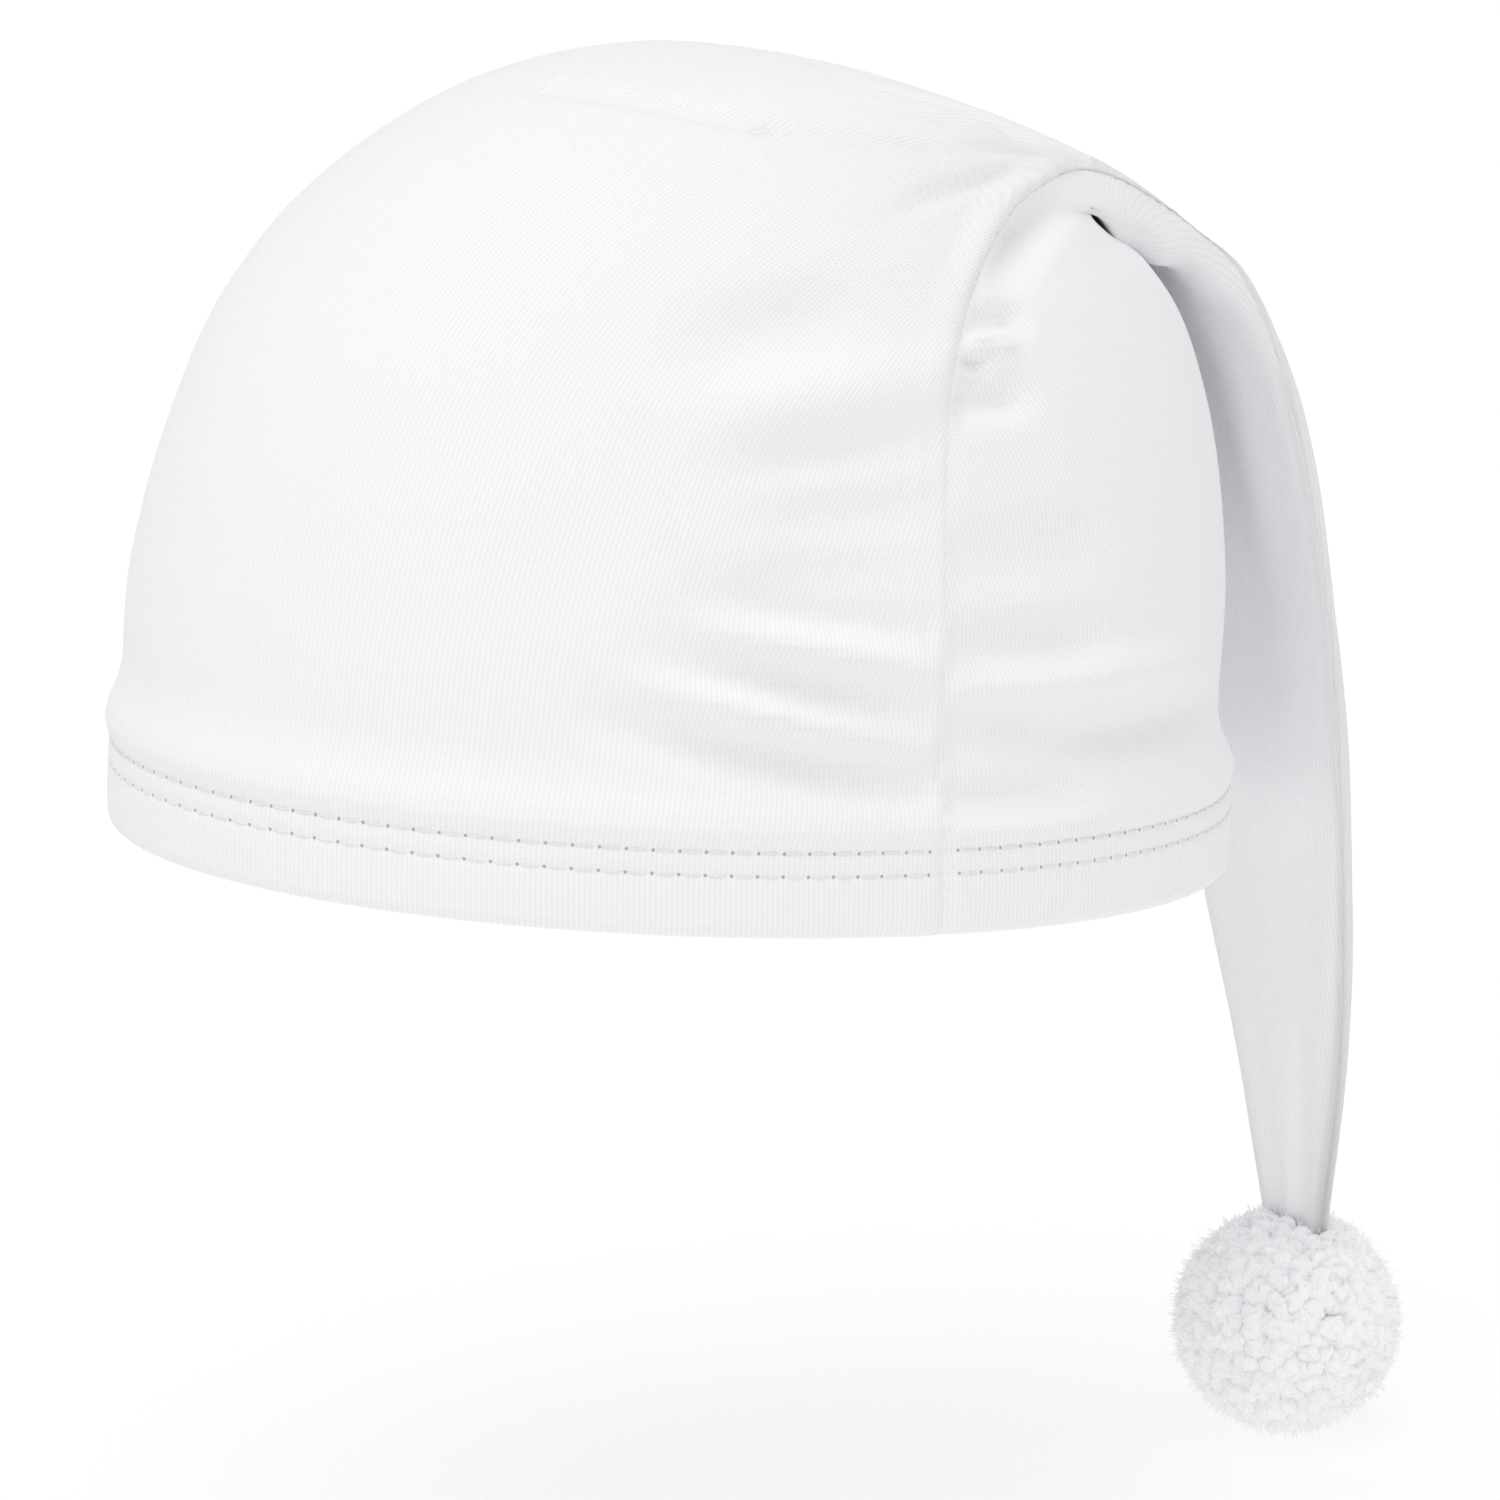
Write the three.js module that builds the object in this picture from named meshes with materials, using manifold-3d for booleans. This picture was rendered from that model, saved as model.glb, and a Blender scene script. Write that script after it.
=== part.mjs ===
// Nightcap of thin white jersey, in the form it has when worn: a domed crown with a turned hem, a
// top that folds over behind the crown and hangs down as a flattened tail, and a cut-yarn pompom.
// Two panels make it, front and back, joined by a seam up each side and on down the tail's edges.
// Millimetres, +Z up, the forehead towards -Y, the wearer's left towards +X.
// The origin is the middle of the head opening.

import * as THREE from "three";
import Module from "manifold-3d";
import { mergeVertices } from "three/addons/utils/BufferGeometryUtils.js";

// Cloth: one layer of jersey, two where the hem is turned up, and the slit between sewn panels.
const JERSEY_WALL = 1.2;
const HEM_WALL = 2.2;
const HEM_TOP_STATION = 1;
const SEAM_GAP = 0.3;

// Mesh steps along the panels, from the hem to the tip, and across them from seam to seam.
const ALONG_STEPS = [
  { toStation: 1, steps: 2 },
  { toStation: 8, steps: 19 },
  { toStation: 9, steps: 4 },
  { toStation: 12, steps: 8 },
  { toStation: 18, steps: 10 },
];
const ACROSS_STEPS = 26;

// Pompom: middle, half-width over the yarn ends, solid head, and the locks that stand on it.
const POMPOM = {
  middle: [5.5, 124, -102.5],
  radius: 20.5,
  headRadius: 17.5,
  lockCount: 46,
  lockRoot: 12,
  lockRootRadius: 2.2,
  lockTipRadius: 4.1,
  lockSides: 6,
  socketDepthZ: -84.3,
  socketClearance: 0.6,
};

const JERSEY_WHITE = 0xf2f2f1;
const YARN_WHITE = 0xf0f0ef;

// Sections of the cap from the hem to the tip. Each gives the left seam (the right one mirrors it),
// the middle of the front and of the back panel, how full their arcs are (2 is an ellipse, more is
// squarer), and how far the section is shifted to the left. The hem is 5 degrees higher in front.
const SECTION_COLUMNS = [
  "name", "seamX", "seamY", "seamZ", "frontY", "frontZ", "backY", "backZ", "frontFull", "backFull", "shiftX",
];
const SECTION_ROWS = [
  ["hem edge", 82, 0, 0, -99, 8.7, 99, -8.7, 2, 2, 0],
  ["hem top", 82, 0, 14, -98.5, 22.7, 99, 5.3, 2, 2, 0],
  ["above hem", 80.5, 0.5, 26, -96.5, 36, 97, 18, 2, 2, 0],
  ["low side", 79, 2.5, 46, -93.5, 56, 98.5, 42, 2, 2, 0],
  ["mid side", 75.5, 5, 66, -87, 78, 95, 66, 2, 2.1, 0],
  ["high side", 71, 8.5, 84, -77, 97, 88, 85, 2, 2.2, 0],
  ["arch foot", 65, 16, 99, -60, 114.5, 78, 97, 2, 2.3, 0],
  ["arch rise", 57, 28, 110, -36, 128, 66, 102.5, 2, 2.4, 0],
  ["pocket", 50, 40, 114.2, -6, 134, 57, 106.5, 2.1, 2.5, 0],
  ["arch top", 43, 53, 115, 24, 131.5, 60, 110.5, 2.2, 2.6, 0],
  ["bend start", 37, 67, 110.5, 53, 121, 70, 106, 2.2, 2.6, 0.5],
  ["bend", 32, 84, 100.5, 82, 103, 82, 97, 2.2, 2.4, 1],
  ["bend end", 29, 95.5, 90.5, 99, 93, 91, 87.5, 2.2, 2.3, 1.5],
  ["tail top", 27, 105.5, 71.7, 110.5, 74, 101.5, 70, 2.2, 2.2, 2],
  ["tail high", 26, 112.5, 46.9, 118.3, 48, 108.5, 46, 2.2, 2.2, 2.5],
  ["tail mid", 24, 118.5, 14.5, 124.5, 15.2, 114.5, 14, 2.2, 2.2, 3],
  ["tail low", 22, 122, -21.4, 127.5, -21.2, 118, -21.6, 2.2, 2.2, 3.5],
  ["tail end", 16.5, 125, -54.5, 129.5, -54.5, 121, -54.5, 2.2, 2.2, 5],
  ["tail tip", 11, 126, -84, 129.5, -84, 122.8, -84, 2.2, 2.2, 5.5],
];

// Folds and dents, each along a line from one place to another. A place is a station, counted in
// sections from the hem, and a place across, 0 in the middle and 1 at either seam. A fold rises or
// sinks by its height over its half-width, and keeps a share of that at its start.
const FOLD_COLUMNS = [
  "panel", "fromStation", "fromAcross", "toStation", "toAcross", "halfWidth", "height", "startShare",
];
const FOLD_ROWS = [
  ["front", 1.4, 0, 1.4, 1, 9, 0.9, 1],
  ["front", 2.3, 1, 2.6, 0.62, 13, -1.5, 0.6],
  ["front", 2.9, 1, 3.2, 0.66, 12, -1.2, 0.5],
  ["front", 3.8, 1, 3.7, 0.72, 12, -1, 0.4],
  ["front", 4.7, 0.95, 4.3, 0.7, 12, -1, 0.2],
  ["front", 5.9, 0.86, 5.2, 0.58, 14, -1.4, 0],
  ["front", 5.4, 1, 4.7, 0.62, 12, 1, 0.6],
  ["front", 9.3, 0.94, 7.6, 0.6, 11, -1.6, 0.4],
  ["front", 7.6, 0.6, 7.2, 0.05, 11, -1.2, 1],
  ["front", 6, 1, 9.6, 1, 9, 1.6, 0.3],
  ["back", 1.4, 0, 1.4, 1, 9, 0.9, 1],
  ["back", 2.6, 0.95, 2.5, 0.5, 11, 1.2, 0],
  ["back", 2, 1, 2.2, 0.45, 11, -1.2, 0.4],
  ["back", 5.4, 1, 5.3, 0.78, 9, -1.2, 0.8],
  ["back", 10.1, 0.84, 11.1, 0.84, 11, 4.5, 0.3],
  ["back", 11.4, 0.86, 12.3, 0.86, 10, 3.5, 0.3],
  ["back", 13, 0.3, 16, 0.2, 9, -1.5, 0.2],
];
const FOLD_LINE_POINTS = 12;
const FOLD_REACH_STATIONS = 1.2;

const wasm = await Module();
wasm.setup();

function namedRows(columns, rows) {
  return rows.map((row) => Object.fromEntries(columns.map((column, index) => [column, row[index]])));
}

const sections = namedRows(SECTION_COLUMNS, SECTION_ROWS);
const folds = namedRows(FOLD_COLUMNS, FOLD_ROWS);
const lastStation = sections.length - 1;

function sectionCurve(toPoint) {
  const points = sections.map((section) => new THREE.Vector3(...toPoint(section)));
  return new THREE.CatmullRomCurve3(points, false, "catmullrom", 0.5);
}

const seamCurve = sectionCurve((section) => [section.seamX, section.seamY, section.seamZ]);
const shiftCurve = sectionCurve((section) => [section.shiftX, 0, 0]);
const PANELS = {
  front: {
    middleCurve: sectionCurve((section) => [0, section.frontY, section.frontZ]),
    fullCurve: sectionCurve((section) => [section.frontFull, 0, 0]),
    facing: 1,
  },
  back: {
    middleCurve: sectionCurve((section) => [0, section.backY, section.backZ]),
    fullCurve: sectionCurve((section) => [section.backFull, 0, 0]),
    facing: -1,
  },
};

// Arc of one panel at one station, from the right seam over the panel's middle to the left seam.
class PanelArc extends THREE.Curve {
  constructor(panel, station) {
    super();
    const share = station / lastStation;
    this.seam = seamCurve.getPoint(share);
    this.middle = PANELS[panel].middleCurve.getPoint(share);
    this.shift = shiftCurve.getPoint(share).x;
    this.power = 2 / PANELS[panel].fullCurve.getPoint(share).x;
    const hub = new THREE.Vector3(0, this.seam.y, this.seam.z);
    const towardsMiddle = this.middle.clone().sub(hub).normalize();
    this.edgeStep = towardsMiddle.multiplyScalar(SEAM_GAP / 2);
  }

  getPoint(share, target = new THREE.Vector3()) {
    const across = 2 * share - 1;
    const angle = ((1 - Math.abs(across)) * Math.PI) / 2;
    const sideways = Math.cos(angle) ** this.power * Math.sign(across);
    const inwards = Math.sin(angle) ** this.power;
    target.set(
      this.shift + this.seam.x * sideways,
      THREE.MathUtils.lerp(this.seam.y + this.edgeStep.y, this.middle.y, inwards),
      THREE.MathUtils.lerp(this.seam.z + this.edgeStep.z, this.middle.z, inwards),
    );
    return target;
  }
}

function stationList() {
  const stations = [0];
  for (const { toStation, steps } of ALONG_STEPS) {
    const start = stations.at(-1);
    for (let step = 1; step <= steps; step += 1) {
      stations.push(start + ((toStation - start) * step) / steps);
    }
  }
  return stations;
}

// Points along a fold's line on the unfolded surface, on one side of the cap.
function foldLine(fold, side) {
  const points = [];
  for (let index = 0; index < FOLD_LINE_POINTS; index += 1) {
    const share = index / (FOLD_LINE_POINTS - 1);
    const station = THREE.MathUtils.lerp(fold.fromStation, fold.toStation, share);
    const across = side * THREE.MathUtils.lerp(fold.fromAcross, fold.toAcross, share);
    points.push(new PanelArc(fold.panel, station).getPointAt((across + 1) / 2));
  }
  return points;
}

// How far a fold lifts a point: a rounded ridge across its line, which fades towards its far end.
function foldLift(fold, line, point) {
  let nearest = Infinity;
  let along = 0;
  for (let index = 0; index < line.length - 1; index += 1) {
    const piece = new THREE.Line3(line[index], line[index + 1]);
    const share = piece.closestPointToPointParameter(point, true);
    const distance = piece.at(share, new THREE.Vector3()).distanceTo(point);
    if (distance < nearest) {
      nearest = distance;
      along = (index + share) / (line.length - 1);
    }
  }
  if (nearest >= fold.halfWidth) {
    return 0;
  }
  const rise = THREE.MathUtils.lerp(fold.startShare, 1, THREE.MathUtils.smoothstep(along, 0, 0.4));
  const fade = 1 - THREE.MathUtils.smoothstep(along, 0.6, 1) * (1 - fold.startShare);
  const ridge = (1 + Math.cos((Math.PI * nearest) / fold.halfWidth)) / 2;
  return fold.height * rise * fade * ridge;
}

// Grid normals from the neighbouring points, facing out of the cap.
function gridNormal(grid, row, column, facing) {
  const below = grid[Math.max(row - 1, 0)][column];
  const above = grid[Math.min(row + 1, grid.length - 1)][column];
  const right = grid[row][Math.max(column - 1, 0)];
  const left = grid[row][Math.min(column + 1, ACROSS_STEPS)];
  const up = above.clone().sub(below);
  const over = left.clone().sub(right);
  return over.cross(up).normalize().multiplyScalar(facing);
}

// Outer face of a panel as a grid of points, a row for each station, with its folds raised.
function panelGrid(panel, stations) {
  const { facing } = PANELS[panel];
  const plain = stations.map((station) => new PanelArc(panel, station).getSpacedPoints(ACROSS_STEPS));
  const lines = folds
    .filter((fold) => fold.panel === panel)
    .flatMap((fold) => [-1, 1].map((side) => ({ fold, side, line: foldLine(fold, side) })));
  return plain.map((row, rowIndex) =>
    row.map((point, column) => {
      const station = stations[rowIndex];
      const across = (2 * column) / ACROSS_STEPS - 1;
      let lift = 0;
      for (const { fold, side, line } of lines) {
        const low = Math.min(fold.fromStation, fold.toStation) - FOLD_REACH_STATIONS;
        const high = Math.max(fold.fromStation, fold.toStation) + FOLD_REACH_STATIONS;
        const ownSide = across === 0 ? side > 0 : across * side > 0;
        if (ownSide && station > low && station < high) {
          lift += foldLift(fold, line, point);
        }
      }
      return point.clone().addScaledVector(gridNormal(plain, rowIndex, column, facing), lift);
    }),
  );
}

function wallAt(station) {
  const share = THREE.MathUtils.smoothstep(station, HEM_TOP_STATION, HEM_TOP_STATION + 0.6);
  return THREE.MathUtils.lerp(HEM_WALL, JERSEY_WALL, share);
}

// Closed wall of cloth: the outer grid, the same grid moved in by the wall, and the four edges.
function panelGeometry(panel) {
  const { facing } = PANELS[panel];
  const stations = stationList();
  const outer = panelGrid(panel, stations);
  const inner = outer.map((row, rowIndex) =>
    row.map((point, column) => {
      const normal = gridNormal(outer, rowIndex, column, facing);
      const atSeam = column === 0 || column === ACROSS_STEPS;
      if (atSeam) {
        normal.set(Math.sign(column - 1), 0, 0);
      }
      return point.clone().addScaledVector(normal, -wallAt(stations[rowIndex]));
    }),
  );
  const corners = [];
  const quad = (a, b, c, d) => {
    const order = facing > 0 ? [a, b, c, a, c, d] : [a, c, b, a, d, c];
    corners.push(...order);
  };
  const lastRow = stations.length - 1;
  for (let row = 0; row < lastRow; row += 1) {
    for (let column = 0; column < ACROSS_STEPS; column += 1) {
      quad(outer[row][column], outer[row][column + 1], outer[row + 1][column + 1], outer[row + 1][column]);
      quad(inner[row][column], inner[row + 1][column], inner[row + 1][column + 1], inner[row][column + 1]);
    }
    const end = ACROSS_STEPS;
    quad(outer[row][0], outer[row + 1][0], inner[row + 1][0], inner[row][0]);
    quad(outer[row][end], inner[row][end], inner[row + 1][end], outer[row + 1][end]);
  }
  for (let column = 0; column < ACROSS_STEPS; column += 1) {
    const tip = lastRow;
    quad(outer[0][column], inner[0][column], inner[0][column + 1], outer[0][column + 1]);
    quad(outer[tip][column], outer[tip][column + 1], inner[tip][column + 1], inner[tip][column]);
  }
  return new THREE.BufferGeometry().setFromPoints(corners);
}

function toSolid(geometry) {
  const bare = geometry.clone();
  bare.deleteAttribute("normal");
  bare.deleteAttribute("uv");
  const merged = mergeVertices(bare, 1e-4);
  return new wasm.Manifold(
    new wasm.Mesh({
      numProp: 3,
      vertProperties: new Float32Array(merged.attributes.position.array),
      triVerts: new Uint32Array(merged.index.array),
    }),
  );
}

function toGeometry(solid) {
  const { vertProperties, triVerts } = solid.getMesh();
  const geometry = new THREE.BufferGeometry();
  geometry.setAttribute("position", new THREE.BufferAttribute(vertProperties, 3));
  geometry.setIndex(new THREE.BufferAttribute(triVerts, 1));
  return geometry;
}

// Pompom: a round head with locks of cut yarn standing out of it all round, evenly spread in a
// spiral from pole to pole, and a socket on top that takes the tail's gathered tip.
function pompomGeometry() {
  const { radius, headRadius, lockCount, lockRoot, lockRootRadius, lockTipRadius, lockSides } = POMPOM;
  const middle = new THREE.Vector3(...POMPOM.middle);
  const goldenAngle = Math.PI * (3 - Math.sqrt(5));
  const lockLength = radius - lockRoot;
  let solid = toSolid(new THREE.IcosahedronGeometry(headRadius, 2));
  for (let lock = 0; lock < lockCount; lock += 1) {
    const height = 1 - (2 * lock + 1) / lockCount;
    const turn = lock * goldenAngle;
    const around = Math.sqrt(1 - height * height);
    const direction = new THREE.Vector3(around * Math.cos(turn), around * Math.sin(turn), height);
    const shape = new THREE.CylinderGeometry(lockTipRadius, lockRootRadius, lockLength, lockSides);
    shape.translate(0, lockRoot + lockLength / 2, 0);
    const turned = new THREE.Quaternion().setFromUnitVectors(new THREE.Vector3(0, 1, 0), direction);
    solid = solid.add(toSolid(shape.applyQuaternion(turned)));
  }
  const tip = sections[lastStation];
  const socketHeight = 2 * radius;
  const socket = new THREE.CylinderGeometry(1, 1, socketHeight, 20).rotateX(Math.PI / 2);
  const halfDepth = (tip.frontY - tip.backY) / 2;
  socket.scale(tip.seamX + POMPOM.socketClearance, halfDepth + POMPOM.socketClearance, 1);
  socket.translate(
    tip.shiftX - middle.x,
    (tip.frontY + tip.backY) / 2 - middle.y,
    POMPOM.socketDepthZ + socketHeight / 2 - middle.z,
  );
  return toGeometry(solid.subtract(toSolid(socket))).translate(...POMPOM.middle);
}

function clothMaterial(color, roughness) {
  return new THREE.MeshStandardMaterial({ color, roughness, metalness: 0 });
}

const nightcap = new THREE.Group();
const pieces = [
  ["front_panel", panelGeometry("front"), clothMaterial(JERSEY_WHITE, 0.85)],
  ["back_panel", panelGeometry("back"), clothMaterial(JERSEY_WHITE, 0.85)],
  ["pompom", pompomGeometry(), clothMaterial(YARN_WHITE, 0.95)],
];
for (const [name, geometry, material] of pieces) {
  const mesh = new THREE.Mesh(geometry, material);
  mesh.name = name;
  nightcap.add(mesh);
}

export default nightcap;
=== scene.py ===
import math

import bmesh
import bpy
import numpy as np
from mathutils import Matrix, Vector, noise


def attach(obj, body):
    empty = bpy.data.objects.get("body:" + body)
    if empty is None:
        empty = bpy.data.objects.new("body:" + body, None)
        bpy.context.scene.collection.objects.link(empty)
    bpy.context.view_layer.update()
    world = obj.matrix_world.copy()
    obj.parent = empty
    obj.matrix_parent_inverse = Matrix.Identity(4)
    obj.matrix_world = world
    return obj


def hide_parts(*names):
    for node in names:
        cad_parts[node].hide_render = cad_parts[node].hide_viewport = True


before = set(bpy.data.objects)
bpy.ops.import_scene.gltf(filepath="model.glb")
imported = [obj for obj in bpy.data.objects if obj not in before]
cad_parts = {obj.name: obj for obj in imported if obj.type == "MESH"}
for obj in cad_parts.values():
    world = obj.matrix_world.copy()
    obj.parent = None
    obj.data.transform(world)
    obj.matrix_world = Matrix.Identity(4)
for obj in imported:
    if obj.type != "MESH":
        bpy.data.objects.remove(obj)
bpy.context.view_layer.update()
scene = bpy.context.scene


# Camera
# A long lens on the cap's left front side, a little above the hem, aimed at the middle of the whole.
camera_azimuth = math.radians(57.8)
camera_elevation = math.radians(12.9)
camera_distance = 1.4
camera_aim = Vector((0.0067, 0.0107, 0.0149))
camera_lens_mm = 198.9
camera_sensor_mm = 36
camera_right = Vector((math.cos(camera_azimuth), math.sin(camera_azimuth), 0))
camera_back = Vector((
    math.sin(camera_azimuth) * math.cos(camera_elevation),
    -math.cos(camera_azimuth) * math.cos(camera_elevation),
    math.sin(camera_elevation),
))
camera_up = camera_back.cross(camera_right)
camera_data = bpy.data.cameras.new("camera")
camera_data.lens = camera_lens_mm
camera_data.sensor_width = camera_sensor_mm
camera_data.clip_end = 50
camera = bpy.data.objects.new("camera", camera_data)
camera_turn = Matrix((camera_right, camera_up, camera_back)).transposed().to_4x4()
camera.matrix_world = Matrix.Translation(camera_aim + camera_back * camera_distance) @ camera_turn
scene.collection.objects.link(camera)
scene.camera = camera


# Front panel
# One piece of thin white single jersey, from the hem at the forehead over the crown and on down the
# outer face of the tail. It is sewn to the back panel along both edges and turned up at its hem.

# Sections of the cap from the hem to the tail's tip, in metres: the left seam, the middle of the front
# and of the back panel, how full their arcs are (2 is an ellipse), and the sideways shift.
section_columns = (
    "seam_x", "seam_y", "seam_z", "front_y", "front_z", "back_y", "back_z",
    "front_full", "back_full", "shift_x",
)
section_rows = {
    "hem edge": (0.082, 0, 0, -0.099, 0.0087, 0.099, -0.0087, 2, 2, 0),
    "hem top": (0.082, 0, 0.014, -0.0985, 0.0227, 0.099, 0.0053, 2, 2, 0),
    "above hem": (0.0805, 0.0005, 0.026, -0.0965, 0.036, 0.097, 0.018, 2, 2, 0),
    "low side": (0.079, 0.0025, 0.046, -0.0935, 0.056, 0.0985, 0.042, 2, 2, 0),
    "mid side": (0.0755, 0.005, 0.066, -0.087, 0.078, 0.095, 0.066, 2, 2.1, 0),
    "high side": (0.071, 0.0085, 0.084, -0.077, 0.097, 0.088, 0.085, 2, 2.2, 0),
    "arch foot": (0.065, 0.016, 0.099, -0.06, 0.1145, 0.078, 0.097, 2, 2.3, 0),
    "arch rise": (0.057, 0.028, 0.11, -0.036, 0.128, 0.068, 0.1020, 2, 2.4, 0),
    "pocket": (0.05, 0.04, 0.1142, -0.006, 0.134, 0.062, 0.1055, 2.1, 2.5, 0),
    "arch top": (0.043, 0.053, 0.115, 0.024, 0.1315, 0.063, 0.1100, 2.2, 2.6, 0),
    "bend start": (0.037, 0.067, 0.1105, 0.053, 0.121, 0.07, 0.106, 2.2, 2.6, 0.0005),
    "bend": (0.032, 0.084, 0.1005, 0.082, 0.103, 0.082, 0.097, 2.2, 2.4, 0.001),
    "bend end": (0.029, 0.0955, 0.0905, 0.099, 0.093, 0.091, 0.0875, 2.2, 2.3, 0.0015),
    "tail top": (0.027, 0.1055, 0.0717, 0.1105, 0.074, 0.1015, 0.07, 2.2, 2.2, 0.002),
    "tail high": (0.026, 0.1125, 0.0469, 0.1183, 0.048, 0.1085, 0.046, 2.2, 2.2, 0.0025),
    "tail mid": (0.024, 0.1185, 0.0145, 0.1245, 0.0152, 0.1145, 0.014, 2.2, 2.2, 0.003),
    "tail low": (0.022, 0.122, -0.0214, 0.1275, -0.0212, 0.118, -0.0216, 2.2, 2.2, 0.0035),
    "tail end": (0.0158, 0.1252, -0.0545, 0.1295, -0.0545, 0.1212, -0.0545, 2.2, 2.2, 0.005),
    "tail tip": (0.0078, 0.1268, -0.0895, 0.1296, -0.0895, 0.1242, -0.0895, 2.2, 2.2, 0.0055),
}
section_table = np.array(list(section_rows.values()), dtype=float)
last_station = len(section_table) - 1
curve_samples = 241
station_samples = 3601


def sections_at(stations):
    """Section values at fractional stations, on a smooth spline through the table's rows."""
    table = section_table
    padded = np.vstack([2 * table[0] - table[1], table, 2 * table[-1] - table[-2]])
    stations = np.clip(np.asarray(stations, dtype=float), 0, last_station - 1e-9)
    low = stations.astype(int)
    share = (stations - low)[:, None]
    a, b, c, d = padded[low], padded[low + 1], padded[low + 2], padded[low + 3]
    cubic = 3 * b - a - 3 * c + d
    square = 2 * a - 5 * b + 4 * c - d
    values = b + 0.5 * share * ((c - a) + share * (square + share * cubic))
    return dict(zip(section_columns, values.T))


def panel_points(panel, stations, across):
    """Rows of points on a panel's plain outer face; across runs from -1, right seam, to 1, left seam."""
    section = sections_at(stations)
    middle_y, middle_z = section[panel + "_y"], section[panel + "_z"]
    power = (2 / section[panel + "_full"])[:, None]
    fine = np.linspace(-1, 1, curve_samples)
    angle = (1 - np.abs(fine)) * math.pi / 2
    sideways = np.cos(angle)[None, :] ** power * np.sign(fine)
    inwards = np.sin(angle)[None, :] ** power
    curves = np.stack([
        section["shift_x"][:, None] + section["seam_x"][:, None] * sideways,
        section["seam_y"][:, None] + (middle_y - section["seam_y"])[:, None] * inwards,
        section["seam_z"][:, None] + (middle_z - section["seam_z"])[:, None] * inwards,
    ], axis=-1)
    steps = np.linalg.norm(np.diff(curves, axis=1), axis=2)
    lengths = np.concatenate([np.zeros((len(curves), 1)), np.cumsum(steps, axis=1)], axis=1)
    points = np.empty((len(curves), len(across), 3))
    for row, (curve, length) in enumerate(zip(curves, lengths)):
        wanted = (np.asarray(across) + 1) / 2 * length[-1]
        for axis in range(3):
            points[row, :, axis] = np.interp(wanted, length, curve[:, axis])
    return points, lengths[:, -1] / 2


def grid_normals(points, facing):
    """Unit normals of a grid of points, out of the cap."""
    up = np.gradient(points, axis=0)
    over = np.gradient(points, axis=1)
    normals = np.cross(over, up) * facing
    return normals / np.linalg.norm(normals, axis=2, keepdims=True)


def even_stations(panel, count, dense_below, dense_rate):
    """Stations about evenly far apart along the cloth, closer together near the hem."""
    fine = np.linspace(0, last_station, station_samples)
    seam_and_middle, _ = panel_points(panel, fine, (0, 1))
    steps = np.linalg.norm(np.diff(seam_and_middle, axis=0), axis=2).mean(axis=1)
    length = np.concatenate([[0], np.cumsum(steps)])
    rate = np.where(length < dense_below, dense_rate, 1.0)
    weight = np.concatenate([[0], np.cumsum(steps * rate[1:])])
    return np.interp(np.linspace(0, weight[-1], count), weight, fine)


def smooth_step(value):
    """0 below 0 and 1 above 1, with a smooth rise between."""
    value = np.clip(value, 0, 1)
    return value * value * (3 - 2 * value)


fold_strength = 1.7
fold_line_points = 24
fold_full_from = 0.4
fold_fades_from = 0.55
fold_station_reach = 1.2


def fold_lift(panel, fold, points, normals, stations):
    """Height that one fold adds to each point: a rounded ridge along its line, fading to its far end."""
    from_station, from_across, to_station, to_across, left_width, right_width, height, start_share = fold
    share = np.linspace(0, 1, fold_line_points)
    line_stations = from_station + (to_station - from_station) * share
    line_across = from_across + (to_across - from_across) * share
    line = np.array([
        panel_points(panel, [station], [place])[0][0, 0]
        for station, place in zip(line_stations, line_across)
    ])
    reach = max(left_width, right_width)
    low_station = line_stations.min() - fold_station_reach
    high_station = line_stations.max() + fold_station_reach
    inside = ((points > line.min(axis=0) - reach) & (points < line.max(axis=0) + reach)).all(axis=2)
    inside &= ((stations > low_station) & (stations < high_station))[:, None]
    lift = np.zeros(points.shape[:2])
    if not inside.any():
        return lift
    picked, outward = points[inside], normals[inside]
    nearest = np.full(len(picked), np.inf)
    along = np.zeros(len(picked))
    side = np.zeros(len(picked))
    for index in range(fold_line_points - 1):
        start, step = line[index], line[index + 1] - line[index]
        place = np.clip((picked - start) @ step / (step @ step), 0, 1)
        offset = picked - start - place[:, None] * step
        distance = np.linalg.norm(offset, axis=1)
        closer = distance < nearest
        nearest[closer] = distance[closer]
        along[closer] = (index + place[closer]) / (fold_line_points - 1)
        side[closer] = (np.cross(outward[closer], step) * offset[closer]).sum(axis=1)
    width = np.where(side > 0, left_width, right_width)
    ridge = (1 + np.cos(math.pi * np.minimum(nearest / width, 1))) / 2
    rise = start_share + (1 - start_share) * smooth_step(along / fold_full_from)
    far_end = smooth_step((along - fold_fades_from) / (1 - fold_fades_from))
    fade = 1 if start_share == 1 else 1 - far_end
    lift[inside] = fold_strength * height * rise * fade * ridge
    return lift


lobe_clear_of_seam = 0.003


def lobe_shift(lobe, stations, across, from_seam):
    """How far one sagging lobe moves each point: most at its middle, outwards, back and down."""
    station, middle_from_seam, station_reach, across_reach, outwards, backwards, down = lobe
    along = (stations - station)[:, None] / station_reach
    aside = (from_seam - middle_from_seam) / across_reach
    share = np.exp(-(along**2) - aside**2) * smooth_step(from_seam / lobe_clear_of_seam)
    side = np.sign(across)[None, :]
    return np.stack([share * side * outwards, share * backwards, -share * down], axis=-1)


soft_from_station = 7
soft_to_station = 13
soften_passes = 14
soften_pull = 0.8


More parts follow.
